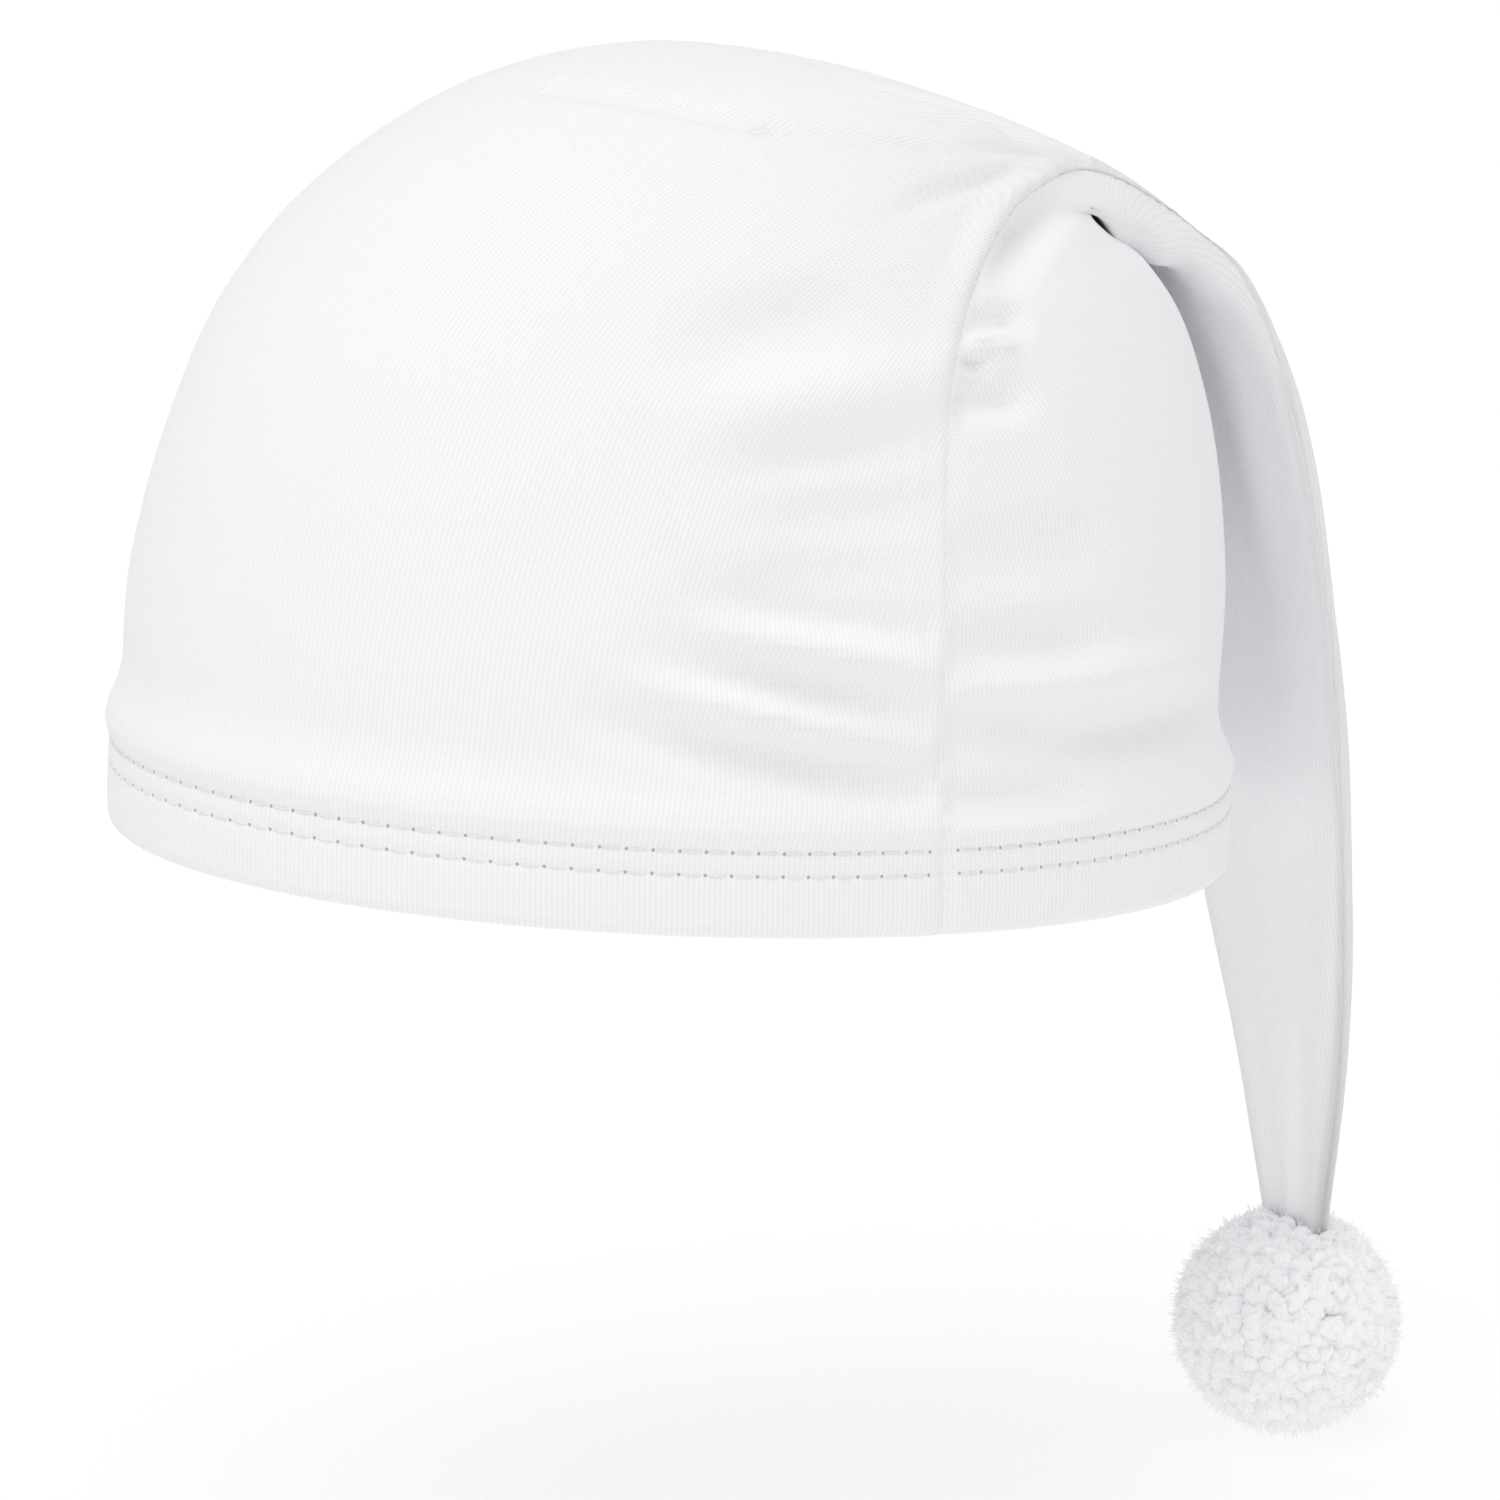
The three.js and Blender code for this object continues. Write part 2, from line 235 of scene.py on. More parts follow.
def soften(points, stations):
    """Points drawn towards their neighbours' middles, as cloth evens out sharp turns, round the bend."""
    shares = smooth_step(stations - soft_from_station) * smooth_step(soft_to_station - stations)
    for _ in range(soften_passes):
        middle = (points[:-2, 1:-1] + points[2:, 1:-1] + points[1:-1, :-2] + points[1:-1, 2:]) / 4
        points[1:-1, 1:-1] += soften_pull * shares[1:-1, None, None] * (middle - points[1:-1, 1:-1])
    return points


# The hem's own profile, by the height up the cloth from its lower edge: a rounded folded edge, a groove
# under each of the two rows of stitching, a small swell between them and a roll of slack above them.
hem_depth = 0.014
stitch_rows = (0.0103, 0.0141)
hem_profile = np.array((
    (0.0000, -0.0009),
    (0.0006, -0.0002),
    (0.0016, 0.0002),
    (0.0055, 0.0003),
    (0.0090, 0.0002),
    (0.0098, 0.0000),
    (0.0103, -0.00015),
    (0.0108, 0.0000),
    (0.0115, 0.0001),
    (0.0122, 0.0002),
    (0.0129, 0.0001),
    (0.0136, 0.0000),
    (0.0141, -0.00015),
    (0.0147, 0.0000),
    (0.0156, 0.0006),
    (0.0175, 0.0012),
    (0.0200, 0.0010),
    (0.0235, 0.0001),
    (0.0270, -0.0003),
    (0.0340, 0.0000),
))

# Folds: from and to (station, place across), width to the left and right of the line seen from outside,
# height, and the share of the height at its start. Left-side folds come from the photograph.
front_folds = (
    # Drag folds that run from the side seam into the panel, from the hem upwards
    (1.85, 0.99, 2.50, 0.50, 0.006, 0.010, -0.0020, 0.5),
    (2.25, 1.00, 2.70, 0.56, 0.006, 0.006, 0.0016, 0.4),
    (2.50, 0.97, 3.00, 0.58, 0.006, 0.009, -0.0018, 0.4),
    (2.85, 0.99, 3.20, 0.66, 0.006, 0.006, 0.0013, 0.4),
    (3.15, 0.98, 3.40, 0.62, 0.006, 0.009, -0.0017, 0.5),
    (3.60, 0.96, 3.65, 0.72, 0.006, 0.008, -0.0011, 0.4),
    (4.05, 0.97, 3.95, 0.70, 0.006, 0.008, -0.0012, 0.3),
    (4.70, 0.97, 4.30, 0.66, 0.006, 0.008, -0.0012, 0.3),
    (5.3, 1.00, 4.65, 0.58, 0.010, 0.008, 0.0013, 0.6),
    (5.9, 0.88, 5.20, 0.56, 0.011, 0.010, -0.0016, 0.2),
    # The same on the other side, where they are fewer
    (2.2, -1.00, 2.60, -0.60, 0.014, 0.011, -0.0016, 0.5),
    (3.2, -1.00, 3.40, -0.66, 0.012, 0.010, -0.0014, 0.5),
    (4.9, -0.97, 4.50, -0.62, 0.012, 0.012, -0.0013, 0.3),
    (5.8, -0.90, 5.10, -0.60, 0.013, 0.013, -0.0014, 0.2),
    # Creases that fan out over the crown from the top of the arch
    (9.35, 0.94, 8.00, 0.74, 0.0032, 0.0028, -0.0009, 0.5),
    (8.00, 0.74, 7.53, 0.48, 0.0035, 0.0030, -0.0010, 1.0),
    (7.53, 0.48, 7.30, 0.06, 0.0050, 0.0040, -0.0009, 1.0),
    (9.40, 0.92, 8.05, 0.50, 0.0032, 0.0028, -0.0009, 0.5),
    (9.50, 0.88, 8.45, 0.30, 0.0032, 0.0028, -0.0008, 0.5),
    (9.40, 0.90, 8.95, 0.60, 0.0030, 0.0028, -0.0007, 0.5),
    (8.60, 0.985, 6.45, 0.77, 0.0035, 0.0040, -0.0008, 0.4),
    (9.35, -0.94, 7.70, -0.60, 0.006, 0.006, -0.0012, 0.5),
    (8.60, -0.985, 6.60, -0.80, 0.005, 0.004, -0.0008, 0.4),
    # The lip that the panel's edge rolls up into over the pocket
    (5.6, 1.00, 9.8, 1.00, 0.007, 0.007, 0.0016, 0.2),
    (5.6, -1.00, 9.8, -1.00, 0.007, 0.007, 0.0016, 0.2),
)

seam_stitch = 0.0032
seam_depth = 0.00055
seam_pucker = 0.3
seam_reach = {"front": 0.0008, "back": 0.0020}
seam_joined = 0.002
rib_width = 0.005
rib_height = 0.00025
rib_slope = 0.003
close_rows_below = 0.026
close_row_rate = 2.6
edge_crowding = 0.25
calm_above_hem = 0.02
# Slack: height and waves a metre of the slow swells and of the small dimples.
slack_swell = (0.0006, 28)
slack_dimple = (0.00012, 110)


def build_grid(panel, facing, folds, lobes, row_count, column_count):
    """The panel's outer face with hem and folds: points, normals and their flat places in the cloth."""
    stations = even_stations(panel, row_count, close_rows_below, close_row_rate)
    even = np.linspace(-1, 1, column_count)
    across = even * (1 + edge_crowding - edge_crowding * even**2)
    points, half_width = panel_points(panel, stations, across)
    normals = grid_normals(points, facing)
    steps = np.linalg.norm(np.diff(points, axis=0), axis=2)
    up_cloth = np.concatenate([np.zeros((1, column_count)), np.cumsum(steps, axis=0)])
    from_middle = across[None, :] * half_width[:, None]
    from_seam = (1 - np.abs(across))[None, :] * half_width[:, None]
    hem_lift = np.interp(up_cloth, hem_profile[:, 0], hem_profile[:, 1])
    lift = np.zeros_like(hem_lift)
    for fold in folds:
        lift += fold_lift(panel, fold, points, normals, stations)
    # The seam draws both panels' edges in; its allowance lies under the front panel as a low flat rib.
    pull = 1 + seam_pucker * np.sin(up_cloth * 2 * math.pi / seam_stitch)
    drawn_in = seam_depth * pull * np.exp(-((from_seam / seam_reach[panel]) ** 2))
    if panel == "front":
        lift += rib_height * (1 - smooth_step((from_seam - rib_width) / rib_slope))
    calm = smooth_step((up_cloth - hem_depth) / calm_above_hem)
    swell = np.empty_like(lift)
    for row in range(row_count):
        for column in range(column_count):
            place = Vector((from_middle[row, column], up_cloth[row, column], 0.3 * facing))
            swell[row, column] = sum(
                height * noise.noise(place * waves) for height, waves in (slack_swell, slack_dimple)
            )
    lift += swell * calm
    # At the very edge both panels move the same way, straight out to the side, so that they stay joined.
    edge = np.exp(-((from_seam / seam_joined) ** 2))[:, :, None]
    sideways = np.zeros_like(normals)
    sideways[:, :, 0] = np.sign(across)
    direction = normals * (1 - edge) + sideways * edge
    shaped = points + direction * (hem_lift - drawn_in + lift * (1 - edge[:, :, 0]))[:, :, None]
    for lobe in lobes:
        shaped += lobe_shift(lobe, stations, across, from_seam)
    if lobes:
        shaped = soften(shaped, stations)
    return {
        "points": shaped,
        "normals": grid_normals(shaped, facing),
        "from_middle": from_middle,
        "from_seam": from_seam,
        "up_cloth": up_cloth,
        "half_width": half_width,
        "across": across,
    }


cloth_wall = 0.0011
hem_wall = 0.0021
hem_wall_step = 0.004
seam_wall_share = 0.3
seam_wall_taper = 0.003


def cloth_object(name, grid, facing):
    """A panel's mesh on its grid of points, with the flat places as its UV map, given its thickness."""
    row_count, column_count = grid["up_cloth"].shape
    shell = bmesh.new()
    bmesh.ops.create_grid(shell, x_segments=column_count - 1, y_segments=row_count - 1, size=1)
    for edge in shell.edges:
        edge.smooth = not edge.is_boundary
    mesh = bpy.data.meshes.new(name)
    shell.to_mesh(mesh)
    shell.free()
    flat = np.empty(len(mesh.vertices) * 3)
    mesh.vertices.foreach_get("co", flat)
    flat = flat.reshape(-1, 3)
    column = np.rint((flat[:, 0] * facing + 1) / 2 * (column_count - 1)).astype(int)
    row = np.rint((flat[:, 1] + 1) / 2 * (row_count - 1)).astype(int)
    mesh.vertices.foreach_set("co", grid["points"][row, column].ravel())
    corner = np.empty(len(mesh.loops), dtype=np.int32)
    mesh.loops.foreach_get("vertex_index", corner)
    places = np.stack([grid["from_middle"][row, column], grid["up_cloth"][row, column]], axis=1)
    mesh.uv_layers.new(name="cloth").data.foreach_set("uv", places[corner].ravel())
    mesh.polygons.foreach_set("use_smooth", np.ones(len(mesh.polygons), dtype=bool))
    panel = bpy.data.objects.new(name, mesh)
    scene.collection.objects.link(panel)
    layers = panel.vertex_groups.new(name="layers")
    single = cloth_wall / hem_wall
    layered = 1 + (single - 1) * smooth_step((grid["up_cloth"] - hem_depth) / hem_wall_step)
    full_from_seam = smooth_step(grid["from_seam"] / seam_wall_taper)
    weights = layered * (seam_wall_share + (1 - seam_wall_share) * full_from_seam)
    for index, weight in enumerate(weights[row, column]):
        layers.add([index], weight, "REPLACE")
    wall = panel.modifiers.new("wall", "SOLIDIFY")
    wall.thickness = hem_wall
    wall.offset = -1
    wall.vertex_group = "layers"
    return panel


def math_node(tree, operation, first, second=None):
    """A Math node with values or sockets as its inputs; gives back its output."""
    node = tree.nodes.new("ShaderNodeMath")
    node.operation = operation
    for slot, value in zip(node.inputs, (first, second)):
        if isinstance(value, bpy.types.NodeSocket):
            tree.links.new(value, slot)
        elif value is not None:
            slot.default_value = value
    return node.outputs[0]


jersey_white = (0.93, 0.93, 0.95, 1)
# Painted shade: the colour between the wales.
groove_painted_shade = (0.89, 0.89, 0.91, 1)
# Painted shade: the colour in the needle holes.
pit_painted_shade = (0.45, 0.45, 0.46, 1)
wale_width = 0.00087
course_height = 0.00066
knit_relief = 0.00012
stitch_pitch = 0.0043
pit_floor = 0.00012
pit_rim = 0.0004
pit_depth = 0.0004


def jersey_material():
    """Single jersey: columns of V-shaped loops that follow the cloth, and needle holes along the hem."""
    material = bpy.data.materials.new("white_jersey")
    material.use_nodes = True
    tree = material.node_tree
    shader = tree.nodes["Principled BSDF"]
    shader.inputs["Roughness"].default_value = 0.9
    shader.inputs["Specular IOR Level"].default_value = 0.15
    shader.inputs["Sheen Weight"].default_value = 0.12
    shader.inputs["Sheen Roughness"].default_value = 0.5
    place = tree.nodes.new("ShaderNodeUVMap")
    place.uv_map = "cloth"
    parts = tree.nodes.new("ShaderNodeSeparateXYZ")
    tree.links.new(place.outputs["UV"], parts.inputs["Vector"])
    sideways, upwards = parts.outputs["X"], parts.outputs["Y"]
    # Loops: each wale is two slanting legs with a groove on either side.
    wale = math_node(tree, "DIVIDE", sideways, wale_width)
    wale_share = math_node(tree, "FRACT", wale)
    from_centre = math_node(tree, "ABSOLUTE", math_node(tree, "SUBTRACT", wale_share, 0.5))
    from_centre = math_node(tree, "MULTIPLY", from_centre, 2)
    course = math_node(tree, "DIVIDE", upwards, course_height)
    slanted = math_node(tree, "ADD", course, math_node(tree, "MULTIPLY", from_centre, 0.8))
    leg = math_node(tree, "SINE", math_node(tree, "MULTIPLY", slanted, 2 * math.pi))
    crown = math_node(tree, "SUBTRACT", 1, math_node(tree, "POWER", from_centre, 2.5))
    loop_height = math_node(tree, "ADD", crown, math_node(tree, "MULTIPLY", leg, 0.3))
    # Needle holes: a round pit at each stitch end along both rows.
    stitch_share = math_node(tree, "FRACT", math_node(tree, "DIVIDE", sideways, stitch_pitch))
    around = math_node(tree, "SUBTRACT", stitch_share, 0.5)
    around = math_node(tree, "MULTIPLY", around, stitch_pitch)
    from_low, from_high = (
        math_node(tree, "ABSOLUTE", math_node(tree, "SUBTRACT", upwards, height)) for height in stitch_rows
    )
    nearest_row = math_node(tree, "MINIMUM", from_low, from_high)
    distance = math_node(tree, "SQRT", math_node(
        tree, "ADD",
        math_node(tree, "MULTIPLY", around, around),
        math_node(tree, "MULTIPLY", nearest_row, nearest_row),
    ))
    pit = tree.nodes.new("ShaderNodeMapRange")
    pit.interpolation_type = "SMOOTHSTEP"
    pit.inputs["From Min"].default_value = pit_floor
    pit.inputs["From Max"].default_value = pit_rim
    pit.inputs["To Min"].default_value = 1
    pit.inputs["To Max"].default_value = 0
    tree.links.new(distance, pit.inputs["Value"])
    # Colour: painted shade, a little darker between the wales and darker in the needle holes.
    tint = tree.nodes.new("ShaderNodeMix")
    tint.data_type = "RGBA"
    tint.inputs["A"].default_value = jersey_white
    tint.inputs["B"].default_value = groove_painted_shade
    tree.links.new(math_node(tree, "POWER", from_centre, 3), tint.inputs["Factor"])
    # Painted shade: the needle holes are painted grey as well as sunk by the bump.
    holed = tree.nodes.new("ShaderNodeMix")
    holed.data_type = "RGBA"
    tree.links.new(tint.outputs["Result"], holed.inputs["A"])
    holed.inputs["B"].default_value = pit_painted_shade
    tree.links.new(pit.outputs["Result"], holed.inputs["Factor"])
    tree.links.new(holed.outputs["Result"], shader.inputs["Base Color"])
    knit = tree.nodes.new("ShaderNodeBump")
    knit.inputs["Strength"].default_value = 0.6
    knit.inputs["Distance"].default_value = knit_relief
    tree.links.new(loop_height, knit.inputs["Height"])
    holes = tree.nodes.new("ShaderNodeBump")
    holes.inputs["Strength"].default_value = 0.5
    holes.inputs["Distance"].default_value = pit_depth
    holes.invert = True
    tree.links.new(pit.outputs["Result"], holes.inputs["Height"])
    tree.links.new(knit.outputs["Normal"], holes.inputs["Normal"])
    tree.links.new(holes.outputs["Normal"], shader.inputs["Normal"])
    return material


jersey = jersey_material()
panel_columns = 161
front_rows = 300
front_grid = build_grid("front", 1, front_folds, (), front_rows, panel_columns)
front_cloth = cloth_object("front_cloth", front_grid, 1)
front_cloth.data.materials.append(jersey)
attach(front_cloth, "root")
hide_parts("front_panel")


# Back panel
# The same jersey over the back of the head, sewn to the front panel along both edges. Below the bend it
# is drawn in under the front panel as a pocket, sags out of it in soft lobes beside the seam, and runs on
# as the inner face of the tail.
back_folds = (
    # Ripples above the hem
    (2.75, 0.98, 2.62, 0.40, 0.006, 0.006, 0.0015, 0.2),
    (2.20, 0.97, 2.20, 0.30, 0.007, 0.006, -0.0018, 0.4),
    (1.70, 1.00, 1.72, 0.72, 0.006, 0.006, -0.0016, 0.8),
    (2.45, 1.00, 2.40, 0.78, 0.006, 0.007, -0.0014, 0.8),
    (3.05, 1.00, 2.95, 0.70, 0.007, 0.009, -0.0016, 0.7),
    (3.75, 1.00, 3.60, 0.70, 0.009, 0.011, -0.0011, 0.5),
    (2.60, -0.96, 2.50, -0.40, 0.008, 0.008, 0.0011, 0.0),
    (2.10, -0.96, 2.10, -0.35, 0.008, 0.008, -0.0013, 0.2),
    (3.40, -1.00, 3.30, -0.70, 0.011, 0.011, -0.0011, 0.5),
    # The hollow under the arch
    (8.40, 0.94, 5.90, 0.97, 0.008, 0.012, -0.0026, 0.3),
    # Puckers where the seam turns up into the arch
    (5.87, 1.00, 5.75, 0.86, 0.004, 0.005, -0.0014, 0.9),
    (5.40, 1.00, 5.38, 0.93, 0.003, 0.003, -0.0016, 0.9),
    (5.05, 1.00, 4.98, 0.84, 0.005, 0.005, -0.0017, 0.9),
    (5.62, 1.00, 5.55, 0.88, 0.004, 0.004, 0.0010, 0.8),
    (5.60, -1.00, 5.50, -0.86, 0.006, 0.006, -0.0014, 0.9),
    (5.05, -1.00, 4.98, -0.86, 0.005, 0.005, -0.0014, 0.9),
    # Lengthwise folds down the tail's inner face
    (12.40, 0.62, 14.60, 0.45, 0.009, 0.010, 0.0008, 0.6),
    (12.60, 0.25, 15.80, 0.15, 0.011, 0.011, -0.0008, 0.4),
    (12.60, -0.40, 15.60, -0.35, 0.009, 0.009, 0.0007, 0.4),
    (16.90, 0.50, 18.00, 0.40, 0.004, 0.004, -0.0005, 1.0),
    (16.90, -0.20, 18.00, -0.15, 0.004, 0.004, -0.0004, 1.0),
)
# Sagging lobes: station, distance from the seam, reach along (stations) and across, and the shift of the
# middle outwards, backwards and down.
back_lobes = (
    (8.8, 0.010, 0.7, 0.009, 0.0010, 0.002, 0.0040),
    (9.6, 0.010, 0.7, 0.009, 0.0020, 0.000, 0.0095),
    (10.6, 0.009, 0.45, 0.008, 0.0020, 0.000, 0.0065),
    (11.6, 0.008, 0.4, 0.007, 0.0005, 0.000, 0.0040),
)
back_rows = 270
back_grid = build_grid("back", -1, back_folds, back_lobes, back_rows, panel_columns)
back_cloth = cloth_object("back_cloth", back_grid, -1)
back_cloth.data.materials.append(jersey)
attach(back_cloth, "root")
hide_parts("back_panel")


# Hem stitching
# Two rows of white thread, sewn at once by a twin needle through both layers of the hem. Each stitch is
# a short length of thread that lies on the cloth and dives into a needle hole at either end.
thread_radius = 0.00024
thread_white = (0.93, 0.93, 0.95, 1)
# Painted shade: the darker colour between the thread's plies.
thread_painted_shade = (0.72, 0.72, 0.73, 1)
thread_sides = 6
stitch_rings = 7
stitch_inset = 0.06
stitch_dive = 0.0004
stitch_rise = 0.0005
stitch_free_of_seam = 0.001
hem_rows = 90


def grid_place(grid, along, height):
    """Point and normal on a panel at a distance from its middle and a height up the cloth, at the hem."""
    row_count = len(grid["half_width"])
    near_rows = np.arange(min(row_count, hem_rows))
    column = np.interp(along, grid["from_middle"][0], np.arange(len(grid["across"])))
    low = int(min(column, len(grid["across"]) - 2))
    share = column - low
    left_heights, right_heights = grid["up_cloth"][near_rows, low], grid["up_cloth"][near_rows, low + 1]
    heights = (1 - share) * left_heights + share * right_heights
    row = np.interp(height, heights, near_rows)
    below = int(row)
    lift = row - below
    values = []
    for key in ("points", "normals"):
        corner = grid[key][below:below + 2, low:low + 2]
        across_pair = corner[:, 0] * (1 - share) + corner[:, 1] * share
        values.append(across_pair[0] * (1 - lift) + across_pair[1] * lift)
    return values


def tube_arrays(paths, radii, sides):
    """Vertices and faces of capped tubes: paths (tubes, rings, 3), radii (tubes, rings)."""
    tubes, rings, _ = paths.shape
    ahead = np.gradient(paths, axis=1)
    ahead /= np.linalg.norm(ahead, axis=2, keepdims=True)
    helper = np.where(np.abs(ahead[:, :, 2:3]) > 0.8, (1.0, 0.0, 0.0), (0.0, 0.0, 1.0))
    first = np.cross(ahead, helper)
    first /= np.linalg.norm(first, axis=2, keepdims=True)
    second = np.cross(ahead, first)
    turns = np.arange(sides) * 2 * math.pi / sides
    circle = first[:, :, None] * np.cos(turns)[:, None] + second[:, :, None] * np.sin(turns)[:, None]
    vertices = paths[:, :, None] + circle * radii[:, :, None, None]
    index = np.arange(tubes * rings * sides).reshape(tubes, rings, sides)
    turned = np.roll(index, -1, axis=2)
    walls = np.stack([index[:, :-1], turned[:, :-1], turned[:, 1:], index[:, 1:]], axis=-1).reshape(-1, 4)
    starts = index[:, 0, ::-1]
    ends = index[:, -1]
    return vertices.reshape(-1, 3), walls.tolist() + starts.tolist() + ends.tolist()


def stitch_paths(grid):
    """Centre lines of all the hem's stitches on one panel."""
    paths = []
    reach = grid["half_width"][0] - stitch_free_of_seam
    count = int(reach / stitch_pitch)
    for height in stitch_rows:
        for stitch in range(-count, count):
            start = (stitch + 0.5) * stitch_pitch
            path = []
            for share in np.linspace(0, 1, stitch_rings):
                along = start + (stitch_inset + (1 - 2 * stitch_inset) * share) * stitch_pitch
                point, normal = grid_place(grid, along, height)
                rise = stitch_rise * math.sin(math.pi * share) ** 0.5 - stitch_dive
                path.append(point + normal * rise)
            paths.append(path)
    return paths


stitches = np.array(stitch_paths(front_grid) + stitch_paths(back_grid))
stitch_radii = np.full(stitches.shape[:2], thread_radius)
stitch_vertices, stitch_faces = tube_arrays(stitches, stitch_radii, thread_sides)
stitch_mesh = bpy.data.meshes.new("hem_stitching")
stitch_mesh.from_pydata(stitch_vertices, [], stitch_faces)
stitch_mesh.polygons.foreach_set("use_smooth", np.ones(len(stitch_mesh.polygons), dtype=bool))
hem_stitching = bpy.data.objects.new("hem_stitching", stitch_mesh)
scene.collection.objects.link(hem_stitching)


def thread_material():
    """Spun white sewing thread: its plies wind round each other, and painted shade stands for the grooves
    between them.
    """
    material = bpy.data.materials.new("white_thread")
    material.use_nodes = True
    tree = material.node_tree
    shader = tree.nodes["Principled BSDF"]
    shader.inputs["Roughness"].default_value = 0.7
    shader.inputs["Specular IOR Level"].default_value = 0.3
    place = tree.nodes.new("ShaderNodeTexCoord")
    ply_painted_shade = tree.nodes.new("ShaderNodeTexNoise")
    ply_painted_shade.inputs["Scale"].default_value = 2600
    tree.links.new(place.outputs["Object"], ply_painted_shade.inputs["Vector"])
    # Painted shade: the noise darkens the thread in patches for the grooves between its plies.
    tint = tree.nodes.new("ShaderNodeMix")
    tint.data_type = "RGBA"
    tint.inputs["A"].default_value = thread_white
    tint.inputs["B"].default_value = thread_painted_shade
    tree.links.new(ply_painted_shade.outputs["Fac"], tint.inputs["Factor"])
    tree.links.new(tint.outputs["Result"], shader.inputs["Base Color"])
    return material


hem_stitching.data.materials.append(thread_material())
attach(hem_stitching, "root")


# Pompom
# A ball of soft white cut yarn, tied at its middle and sewn to the tail's tip. The yarn ends have opened
# and felted into close-set round tufts, with fine strands standing out of them.
pompom_middle = np.array((0.0055, 0.1252, -0.104))
pompom_radius = 0.0205
tuft_count = 820
tuft_width = 0.0011
tuft_depth = 0.00035
tuft_jitter = 0.05
tuft_wander = 0.035
tuft_wander_waves = 520
# Lumps in the tufts: height and waves a metre of the coarse and of the fine ones.
coarse_lump = (0.0003, 900)
fine_lump = (0.00025, 1900)
strand_count = 14000
strand_profile = (0.00012, 0.00006)
strand_sides = 3
strand_jitter = 0.02
strand_lean = 0.4
strand_sunk = 0.0008
strand_shortest = 0.0009
strand_longest = 0.0016
ball_subdivisions = 7
tail_clearance = 1.08
tail_gap = 0.0004
yarn_white = (0.97, 0.97, 0.985, 1)
golden_angle = math.pi * (3 - math.sqrt(5))
yarn_seed = 20
draw = np.random.default_rng(yarn_seed)
noise.seed_set(yarn_seed)


def spread_directions(count, jitter):
    """Directions about evenly spread over a ball, each a little off its place."""
    height = 1 - (2 * np.arange(count) + 1) / count
    turn = np.arange(count) * golden_angle
    around = np.sqrt(1 - height**2)
    direction = np.stack([around * np.cos(turn), around * np.sin(turn), height], axis=1)
    direction += draw.normal(0, jitter, direction.shape)
    return direction / np.linalg.norm(direction, axis=1, keepdims=True)


tuft_direction = spread_directions(tuft_count, tuft_jitter)
tuft_reach = pompom_radius * (0.98 + 0.016 * draw.normal(0, 1, tuft_count).clip(-2.2, 1.0))


def yarn_surface(directions):
    """Distance from the ball's middle to the tufts' surface in each direction."""
    place = [Vector(direction * pompom_radius) for direction in directions]
    wander = np.array([noise.noise_vector(point * tuft_wander_waves) for point in place])
    wandered = directions + tuft_wander * wander
    closeness = (wandered / np.linalg.norm(wandered, axis=1, keepdims=True)) @ tuft_direction.T
    nearest = closeness.argmax(axis=1)
    aside = np.arccos(np.clip(closeness.max(axis=1), -1, 1)) * pompom_radius
    lumps = np.array([
        sum(height * noise.noise(point * waves) for height, waves in (coarse_lump, fine_lump))
        for point in place
    ])
    return tuft_reach[nearest] - tuft_depth * (aside / tuft_width) ** 2 + lumps


yarn_ball = bmesh.new()
bmesh.ops.create_icosphere(yarn_ball, subdivisions=ball_subdivisions, radius=1)
ball_directions = np.array([vertex.co for vertex in yarn_ball.verts])
ball_points = ball_directions * yarn_surface(ball_directions)[:, None]

strand_direction = spread_directions(strand_count, strand_jitter)
strand_surface = yarn_surface(strand_direction)[:, None]
strand_root = strand_direction * (strand_surface - strand_sunk)
strand_turn = strand_direction + draw.normal(0, strand_lean, (strand_count, 3))
strand_length = draw.uniform(strand_shortest, strand_longest, (strand_count, 1))
strand_tip = strand_root + strand_turn * strand_length
strand_paths = np.stack([strand_root, strand_tip], axis=1)
strand_widths = np.array(strand_profile)[None, :] * draw.uniform(0.7, 1.2, (strand_count, 1))

tip = dict(zip(section_columns, section_rows["tail tip"]))
tail_half = np.array((tip["seam_x"], (tip["front_y"] - tip["back_y"]) / 2))
tail_middle = np.array((tip["shift_x"], (tip["front_y"] + tip["back_y"]) / 2))
tail_floor = tip["seam_z"] - tail_gap


def below_tail(points):
    """Points placed on the tail's end, with what would stand inside the tail's tip kept below it."""
    placed = points + pompom_middle
    inside = np.linalg.norm((placed[..., :2] - tail_middle) / tail_half, axis=-1) < tail_clearance
    placed[..., 2] = np.where(inside, np.minimum(placed[..., 2], tail_floor), placed[..., 2])
    return placed


for vertex, point in zip(yarn_ball.verts, below_tail(ball_points)):
    vertex.co = point
for face in yarn_ball.faces:
    face.smooth = True
strand_vertices, strand_faces = tube_arrays(below_tail(strand_paths), strand_widths, strand_sides)
strand_mesh = bpy.data.meshes.new("yarn_strands")
strand_mesh.from_pydata(strand_vertices, [], strand_faces)
yarn_ball.from_mesh(strand_mesh)
yarn_mesh = bpy.data.meshes.new("yarn_pompom")
yarn_ball.to_mesh(yarn_mesh)
yarn_ball.free()
bpy.data.meshes.remove(strand_mesh)
yarn_pompom = bpy.data.objects.new("yarn_pompom", yarn_mesh)
scene.collection.objects.link(yarn_pompom)


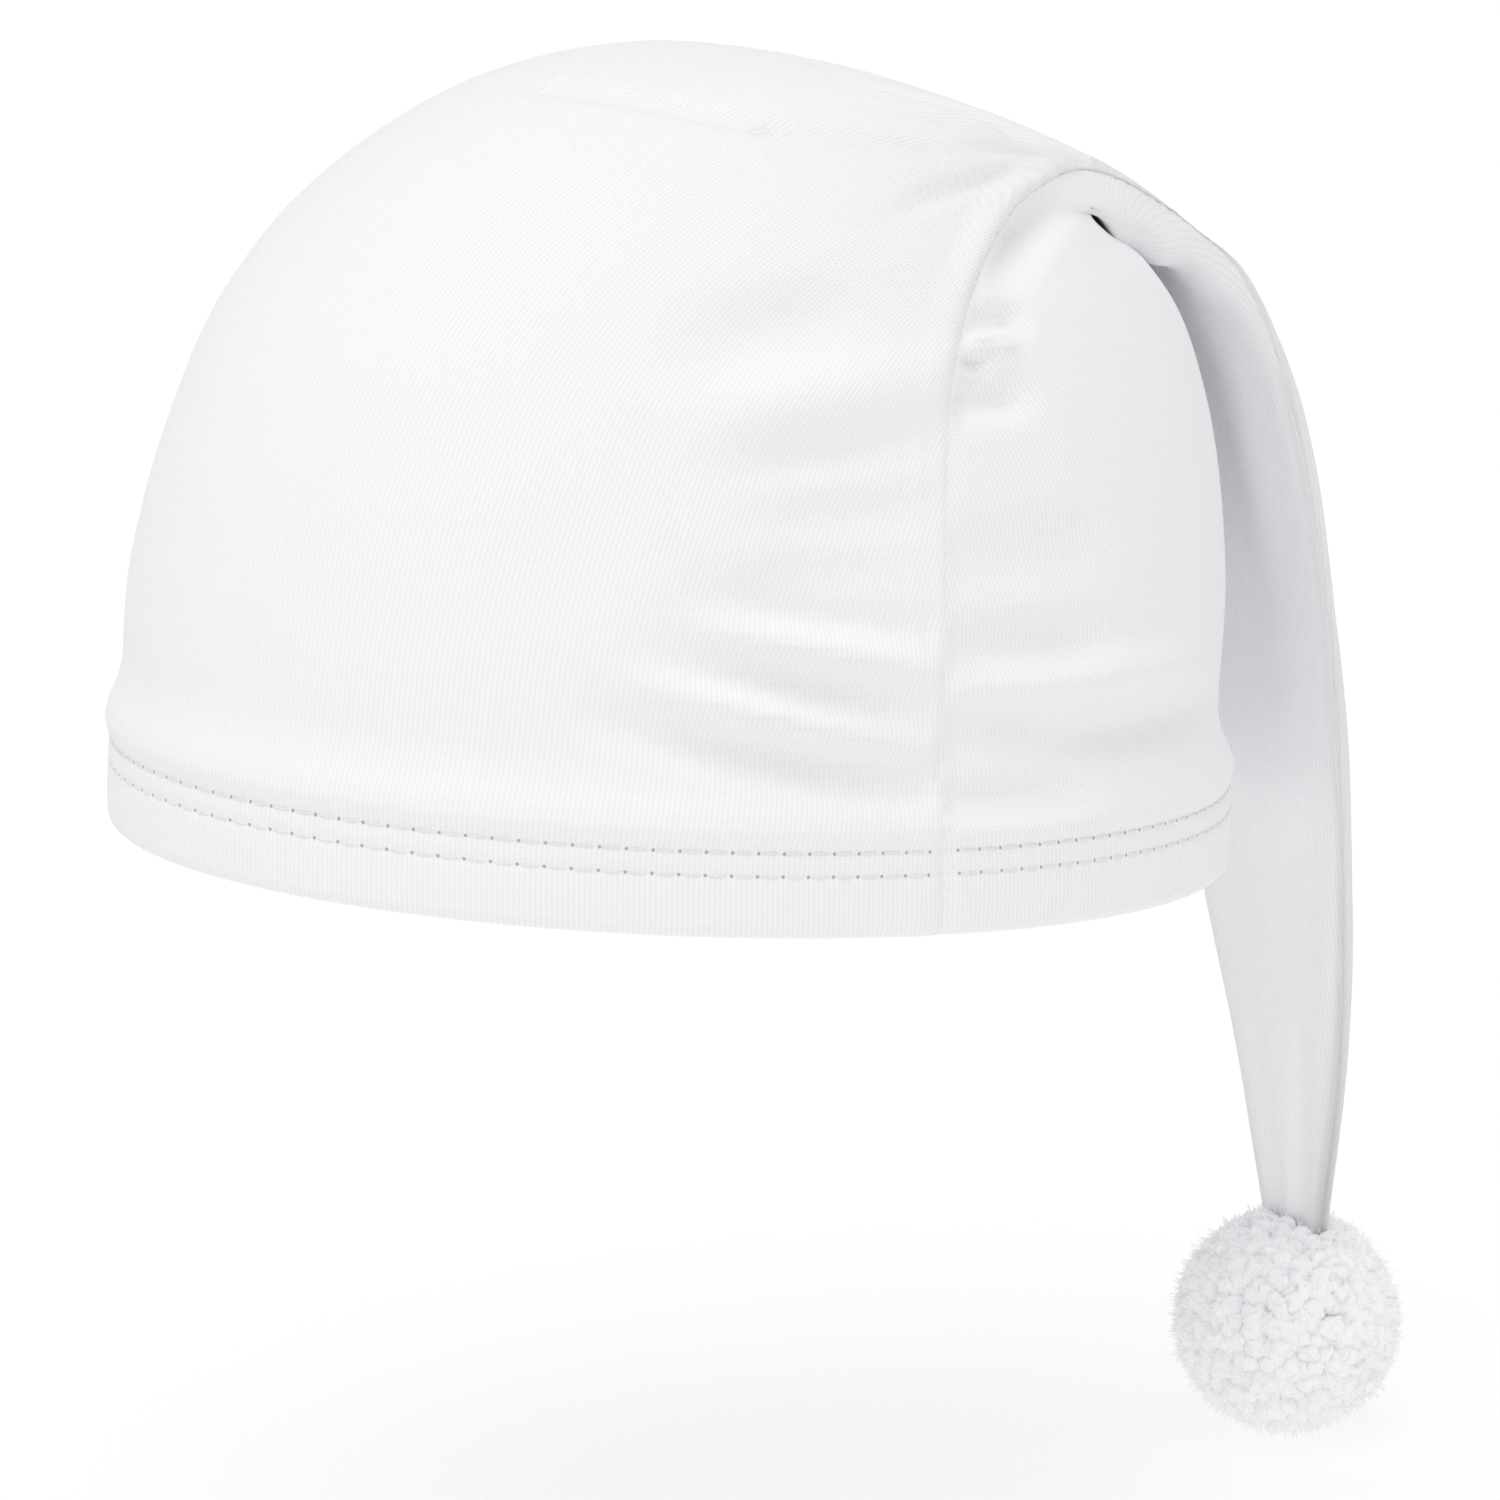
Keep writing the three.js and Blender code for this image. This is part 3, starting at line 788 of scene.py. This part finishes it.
def yarn_material():
    """Soft white yarn, matt."""
    material = bpy.data.materials.new("white_yarn")
    material.use_nodes = True
    shader = material.node_tree.nodes["Principled BSDF"]
    shader.inputs["Base Color"].default_value = yarn_white
    shader.inputs["Roughness"].default_value = 1
    shader.inputs["Specular IOR Level"].default_value = 0.05
    return material


yarn_pompom.data.materials.append(yarn_material())
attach(yarn_pompom, "root")
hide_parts("pompom")


# Studio
# A plain white floor at the pompom's lowest point, lit from within so that it stays white, an even white
# surround, a large soft light from above and a weak one from the camera's side.
floor_half_size = 6
floor_below_pompom = 0.0006
floor_grey = (0.3, 0.3, 0.3, 1)
floor_glow = 0.71
surround_strength = 0.69
white = (1, 1, 1, 1)
floor_mesh = bpy.data.meshes.new("floor")
floor_shape = bmesh.new()
bmesh.ops.create_grid(floor_shape, x_segments=1, y_segments=1, size=floor_half_size)
floor_level = pompom_middle[2] - pompom_radius - floor_below_pompom
bmesh.ops.translate(floor_shape, vec=(0, 0, floor_level), verts=floor_shape.verts)
floor_shape.to_mesh(floor_mesh)
floor_shape.free()
floor = bpy.data.objects.new("floor", floor_mesh)
scene.collection.objects.link(floor)
floor_material = bpy.data.materials.new("white_floor")
floor_material.use_nodes = True
floor_shader = floor_material.node_tree.nodes["Principled BSDF"]
floor_shader.inputs["Base Color"].default_value = floor_grey
floor_shader.inputs["Emission Color"].default_value = white
floor_shader.inputs["Emission Strength"].default_value = floor_glow
floor_shader.inputs["Roughness"].default_value = 1
floor_shader.inputs["Specular IOR Level"].default_value = 0
floor_mesh.materials.append(floor_material)

world = bpy.data.worlds.new("surround")
world.use_nodes = True
background = world.node_tree.nodes["Background"]
background.inputs["Color"].default_value = white
background.inputs["Strength"].default_value = surround_strength
scene.world = world


def add_far_light(name, direction, spread_degrees, strength):
    """A broad even light from far off in a direction, with soft shadows."""
    lamp = bpy.data.lights.new(name, "SUN")
    lamp.energy = strength
    lamp.angle = math.radians(spread_degrees)
    light = bpy.data.objects.new(name, lamp)
    light.rotation_euler = Vector(direction).to_track_quat("Z", "Y").to_euler()
    scene.collection.objects.link(light)


add_far_light("key", (0.15, -0.27, 0.95), 45, 1.0)
add_far_light("fill", (0.8, -0.5, 0.45), 60, 0.2)

scene.view_settings.view_transform = "Standard"
